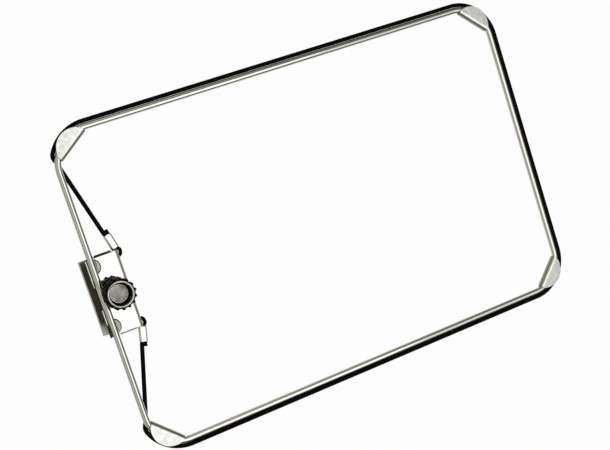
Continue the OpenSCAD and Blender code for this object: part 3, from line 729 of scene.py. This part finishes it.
# Elastic cord: one length of black braided elastic. It lies along the outside of three sides of the
# ring, inside the corner guides, and crosses behind the rod at both ends on its way to the clamp.
CORD_R, CORD_OFF, CORD_SIDES = 1.35, 3.45, 14
CROSS_FROM, CROSS_TO, CROSS_TURN = 23, 4, 100
CROSS_STEPS, BEND_STEPS = 20, 30
STRAND_COUNT, STRAND_RATE = 3, 2.4
CORD_BLACK, CORD_GREY = (0.003, 0.0016, 0.0015), (0.012, 0.007, 0.0068)


def tube(name, line, radii):
    """A round cord along a line of points, with a map that counts millimetres along it and turns round
    it."""
    mesh = bmesh.new()
    map_layer = mesh.loops.layers.uv.new("along")
    angles = [math.tau * k / CORD_SIDES for k in range(CORD_SIDES)]
    rings, lengths = [], []
    for i, point in enumerate(line):
        way = (line[min(i + 1, len(line) - 1)] - line[max(i - 1, 0)]).normalized()
        across = Vector((0, 0, 1)).cross(way).normalized()
        up = way.cross(across)
        lengths.append(lengths[-1] + (point - line[i - 1]).length if i else 0.0)
        rings.append([mesh.verts.new(point + radii[i] * (math.cos(a) * across + math.sin(a) * up))
                      for a in angles])
    for i in range(len(line) - 1):
        for k in range(CORD_SIDES):
            corners = ((i, k), (i, k + 1), (i + 1, k + 1), (i + 1, k))
            face = mesh.faces.new([rings[step][turn % CORD_SIDES] for step, turn in corners])
            for loop, (step, turn) in zip(face.loops, corners):
                loop[map_layer].uv = (lengths[step], turn / CORD_SIDES)
    for end, last in ((rings[0][::-1], 0), (rings[-1], -1)):
        face = mesh.faces.new(end)
        for loop in face.loops:
            loop[map_layer].uv = (lengths[last], 0.5)
    piece = bpy.data.objects.new(name, bpy.data.meshes.new(name))
    bpy.context.collection.objects.link(piece)
    mesh.to_mesh(piece.data)
    mesh.free()
    return piece


def braid(name):
    """Black braided cover: two sets of strands wound opposite ways, over and under each other."""
    finish = Finish(name, Specular_IOR_Level=0.03)
    point = finish.node("TexCoord", {}, output="UV")
    along = finish.node("SeparateXYZ", {"Vector": point}, output="X") * STRAND_RATE
    turn = finish.node("SeparateXYZ", {"Vector": point}, output="Y") * (STRAND_COUNT * math.tau)
    strands = (along + turn).sine() * (along - turn).sine() * 0.5 + 0.5
    fuzz = finish.noise(scale=2400, detail=4)
    finish.shade(Base_Color=finish.blend(mixed(strands, fuzz, share=0.6), CORD_BLACK, CORD_GREY),
                 Roughness=span(fuzz, 0.6, 0.85),
                 Normal=finish.relief(strands * 0.8 + fuzz * 0.4, depth=0.12))
    return finish


def smooth(s):
    """A share from 0 to 1, slower at both ends."""
    return s * s * (3 - 2 * s)


def on_bend(middle, radius, degrees, drop=0.0):
    """A point on a bend of the ring, at a radius about its middle."""
    angle = math.radians(degrees)
    return Vector((middle + radius * math.cos(angle), BEND_Y + radius * math.sin(angle), ROD_Z - drop))


def crossing(slid, s):
    """A point where the cord crosses to the back of the rod, from 0 at the outside to 1 behind it."""
    turn = math.radians(CROSS_TURN * smooth(s))
    return on_bend(BEND_R, BEND_R + CORD_OFF * math.cos(turn),
                   180 - slid - CROSS_FROM + (CROSS_FROM - CROSS_TO) * s, CORD_OFF * math.sin(turn))


def half_route(slid):
    """Half of the cord's way round the ring, from behind the rod to the middle of the far side."""
    points = [crossing(slid, i / CROSS_STEPS) for i in range(CROSS_STEPS, 0, -1)]
    for middle, first, last in ((BEND_R, 180 - slid - CROSS_FROM, 90), (RING_L - BEND_R, 90, 0)):
        turns = [first + (last - first) * i / BEND_STEPS for i in range(BEND_STEPS + 1)]
        points += [on_bend(middle, BEND_R + CORD_OFF, turn) for turn in turns]
    return points


lower_half = [Vector((p.x, -p.y, p.z)) for p in half_route(0)]
route = half_route(GUIDE_SLID) + lower_half[::-1]
cord_cover = braid("cord_black_braid")
side_cord = tube("side_cord", route, [CORD_R] * len(route))
settle(side_cord, cord_cover, "elastic_cord", "frame", "elastic_band", round_to=60)


# Cord ends: from the back of the rod each end runs straight to its sleeve, through the flange in a small
# loop and back into the sleeve, where it is cut off just past the end.
SLEEVE_FOOT, SLEEVE_LEAN, SLEEVE_L = Vector((17.1, 25.1, EYE_Z)), math.radians(13.5), 9.2
STRAND_OFF, PINCH_R, BENT_R, LOOP_R, CUT_END = 1.1, 1.05, 1.12, 2.15, 3
FOOT_RUN, PINCH_RUN, TAIL_GAP = 0.405, 1.4, 0.3
TAIL_STEPS, LOOP_STEPS, EASE_STEPS = 8, 9, 6
EYE_X = FLANGE_X - SHEET / 2
sleeve_turn = Vector((math.cos(SLEEVE_LEAN), math.sin(SLEEVE_LEAN), 0))
sleeve_way = Vector((-math.sin(SLEEVE_LEAN), math.cos(SLEEVE_LEAN), 0))


def in_sleeve(side, along):
    """A point on one of the two strands in the upper sleeve."""
    return SLEEVE_FOOT + side * STRAND_OFF * sleeve_turn + along * sleeve_way


def eased(line, radii):
    """A line through the same points without corners, and its radii."""
    points, sizes = [], []
    for i in range(len(line) - 1):
        a, b, c, d = line[max(i - 1, 0)], line[i], line[i + 1], line[min(i + 2, len(line) - 1)]
        for k in range(EASE_STEPS):
            s = k / EASE_STEPS
            bend = (2 * a - 5 * b + 4 * c - d) * s ** 2 + (3 * b - a - 3 * c + d) * s ** 3
            points.append((2 * b + (c - a) * s + bend) / 2)
            sizes.append(radii[i] + (radii[i + 1] - radii[i]) * smooth(s))
    return points + [line[-1]], sizes + [radii[-1]]


tail_in = in_sleeve(-1, SLEEVE_L)
loop_angles = [math.pi + math.pi * k / LOOP_STEPS for k in range(LOOP_STEPS + 1)]
loop = [Vector((EYE_X + LOOP_R * math.cos(a), EYE_Y + LOOP_R + LOOP_R * math.sin(a), EYE_Z))
        for a in loop_angles]
pinched = [tail_in, in_sleeve(-1, SLEEVE_L / 2), in_sleeve(-1, 0), in_sleeve(-1, -FOOT_RUN),
           loop[0] + Vector((0, CORD_R / 2, 0))]
bent = loop + [loop[-1] + Vector((0, CORD_R, 0))]
held = [in_sleeve(1, along) for along in (-FOOT_RUN, 0, SLEEVE_L / 2, SLEEVE_L, SLEEVE_L + CUT_END)]
for name, node, side, slid in (("upper_cord_end", "upper_cord_tail", 1, GUIDE_SLID),
                               ("lower_cord_end", "lower_cord_tail", -1, 0)):
    flip = Vector((1, side, 1))
    behind = crossing(slid, 1)
    tail_way = (tail_in - behind).normalized()
    free = [behind.lerp(tail_in, k / TAIL_STEPS) for k in range(TAIL_STEPS)]
    free[0] += TAIL_GAP * tail_way
    free.append(tail_in - PINCH_RUN * tail_way)
    stretches = ((free, CORD_R), (pinched, PINCH_R), (bent, BENT_R), (held, PINCH_R))
    tail_route, tail_sizes = eased([point for stretch, radius in stretches for point in stretch],
                                   [radius for stretch, radius in stretches for point in stretch])
    tail = tube(name, [point * flip for point in tail_route], tail_sizes)
    settle(tail, cord_cover, "elastic_cord", None, node, round_to=60)
    tail_in * flip * MM
    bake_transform(tail)


# Crimp sleeves: two short lengths of flat soft aluminium tube, slid over the doubled cord and pressed
# flat, so that they hold its cut end against the strand beside it.
SLEEVE_IN, SLEEVE_WALL, SLEEVE_EDGE = 1.1, 0.4, 0.1
PRESS_AT, PRESS_SLOPE, PRESS_FLAT, PRESS_THICK = (2.3, 5.1), 0.4, 1, 0.95
SLEEVE_BRIGHT, SLEEVE_DULL = (0.9, 0.9, 0.87), (0.8, 0.8, 0.75)

sleeve = start("sleeve", bpy.ops.mesh.primitive_circle_add, vertices=48, radius=SLEEVE_IN + SLEEVE_WALL,
               rotation=(math.pi / 2, 0, 0))
for side in (-1, 1):
    pick("VERT", lambda x, y, z: side * x > CLOSE)
    bpy.ops.transform.translate(value=(side * STRAND_OFF, 0, 0))
bpy.ops.mesh.select_all(action="SELECT")
presses = []
for press in PRESS_AT:
    flat_end = press + PRESS_SLOPE + PRESS_FLAT
    presses += [(press, 1), (press + PRESS_SLOPE, PRESS_THICK), (flat_end, PRESS_THICK),
                (flat_end + PRESS_SLOPE, 1)]
last_at, last_thick = 0, 1
for press_at, thick in presses + [(SLEEVE_L, 1)]:
    draw_out(y=press_at - last_at)
    bpy.ops.transform.resize(value=(1, 1, thick / last_thick), center_override=(0, press_at, 0))
    last_at, last_thick = press_at, thick
thicken(sleeve, SLEEVE_WALL, side=-1)
soften(sleeve, SLEEVE_EDGE)
sleeve_finish = plated("sleeve_aluminium", SLEEVE_BRIGHT, SLEEVE_DULL, smooth=0.14, rough=0.28)
for name, node, side in (("upper_sleeve", "upper_crimp_sleeve", 1),
                         ("lower_sleeve", "lower_crimp_sleeve", -1)):
    on_cord = Matrix.Translation(SLEEVE_FOOT) @ Matrix.Rotation(SLEEVE_LEAN, 4, "Z")
    copy = another(sleeve, name, Matrix.Diagonal((1, side, 1, 1)) @ on_cord)
    settle(copy, sleeve_finish, "sleeve_metal", "bracket", node)
bpy.data.objects.remove(sleeve)


# Camera: about 0.64 m in front of the frame and a little past the side that the clamp carries, looking
# slantwise across it, as the photograph does.
CAMERA_AT, CAMERA_SENSOR, CAMERA_LENS = (-82.3, 77.7, 643.5), 36, 63.27
CAMERA_AHEAD, CAMERA_ABOVE = (0.3196, -0.1162, -0.9404), (0.3276, 0.9448, -0.0054)
SEEN_FROM, SEEN_TO = 0.05, 50

camera = bpy.data.objects.new("camera", bpy.data.cameras.new("camera"))
bpy.context.collection.objects.link(camera)
ahead = Vector(CAMERA_AHEAD).normalized()
aside = ahead.cross(Vector(CAMERA_ABOVE)).normalized()
facing = Matrix((aside, aside.cross(ahead), -ahead)).transposed().to_4x4()
camera.matrix_world = Matrix.Translation(Vector(CAMERA_AT) * MM) @ facing
camera.data.sensor_width, camera.data.lens = CAMERA_SENSOR, CAMERA_LENS
camera.data.clip_start, camera.data.clip_end = SEEN_FROM, SEEN_TO
bpy.context.scene.camera = camera


# Studio: a wide white floor, low enough for the frame to hang down, two soft lights side by side overhead,
# and what metal shows of the room: beige walls on one side, dark overhead and on the other side, and the
# dark front of the camera. Lengths here are in metres.
FLOOR_Z, FLOOR_SIZE, FLOOR_NEAR, FLOOR_FAR = -0.36, 24, 0.74, 1.55
FLOOR_GLOW, FLOOR_MIRRORED = 0.97, 0.5
LIGHT_Z, LIGHT_LONG = 0.61, 0.95
LIGHTS = (("near_light", 0.45, (0.205, -0.25, LIGHT_Z), 1.22),
          ("far_light", 0.34, (0.6, -0.28, LIGHT_Z), 0.72))
CAMERA_FRONT_R, CAMERA_FRONT_BACK = 0.085, 0.03
WHITE = (1, 1, 1)

# Shades of the room, from the walls' side to the far side and from below to above.
WALLS_AWAY = (0.8, -0.6, 0)
WALLS = ((0.0, (0.5, 0.49, 0.41)), (0.3, (0.6, 0.59, 0.5)), (0.42, (0.16, 0.16, 0.14)),
         (0.62, (0.2, 0.2, 0.19)), (0.8, (0.1, 0.1, 0.1)))
RISE = ((0.4, (0.7, 0.7, 0.7)), (0.49, (0.2, 0.2, 0.2)), (0.56, (0.6, 0.6, 0.6)), (0.7, WHITE))

floor = start("floor", bpy.ops.mesh.primitive_plane_add, size=FLOOR_SIZE, location=(0, 0, FLOOR_Z))
alone()
paper = Finish("floor_white", Base_Color=(0.9, 0.9, 0.9), Roughness=0.9)
from_middle = paper.place(shift=(-RING_L / 2 * MM, 0, -FLOOR_Z))
distance = paper.node("VectorMath", {0: from_middle}, {"operation": "LENGTH"}, output="Value")
nearby = paper.node("MapRange", {"Value": distance, "From Min": FLOOR_FAR, "From Max": FLOOR_NEAR})
to_camera = paper.node("LightPath", {}, output="Is Camera Ray")
to_metal = paper.node("LightPath", {}, output="Is Glossy Ray")
to_glass = paper.node("LightPath", {}, output="Is Transmission Ray")
seen = to_camera + (to_metal + to_glass) * nearby * FLOOR_MIRRORED
glow = paper.node("Emission", {"Color": WHITE, "Strength": 1.0})
lit = Value(paper.tree, paper.shader.outputs[0])
surface = paper.node("MixShader", {0: seen * FLOOR_GLOW, 1: lit, 2: glow})
feed(paper.tree, paper.tree.nodes["Material Output"].inputs["Surface"], surface)
floor.data.materials.append(paper.material)

for name, wide, place, radiance in LIGHTS:
    light = bpy.data.objects.new(name, bpy.data.lights.new(name, "AREA"))
    light.data.shape = "RECTANGLE"
    light.data.size, light.data.size_y = wide, LIGHT_LONG
    light.data.energy = radiance * math.pi * wide * LIGHT_LONG
    light.location = place
    light.visible_camera = False
    bpy.context.collection.objects.link(light)

front = start("camera_front", bpy.ops.mesh.primitive_circle_add, radius=CAMERA_FRONT_R, fill_type="NGON")
alone()
front.data.transform(camera.matrix_world @ Matrix.Translation((0, 0, CAMERA_FRONT_BACK)))
front.data.materials.append(Finish("camera_black", Base_Color=(0.03, 0.03, 0.03), Roughness=0.7).material)
front.visible_camera = front.visible_shadow = front.visible_diffuse = False

world = bpy.data.worlds.new("room")
bpy.context.scene.world = world
world.use_nodes = True
room = Nodes(world.node_tree)
look = room.node("TexCoord", {}, output="Generated")
away = room.node("VectorMath", {0: look, 1: WALLS_AWAY}, {"operation": "DOT_PRODUCT"}, output="Value")
height = room.node("SeparateXYZ", {0: look}, output="Z")
walls = room.node("ValToRGB", {0: away * 0.5 + 0.5}, {"stops": WALLS})
rise = room.node("ValToRGB", {0: height * 0.5 + 0.5}, {"stops": RISE})
shade = room.node("Mix", {0: 1.0, 6: walls, 7: rise}, {"data_type": "RGBA", "blend_type": "MULTIPLY"},
                  output=2)
backdrop = room.blend(room.node("LightPath", {}, output="Is Camera Ray"), shade, WHITE)
feed(world.node_tree, world.node_tree.nodes["Background"].inputs["Color"], backdrop)

bpy.context.scene.view_settings.view_transform = "Standard"
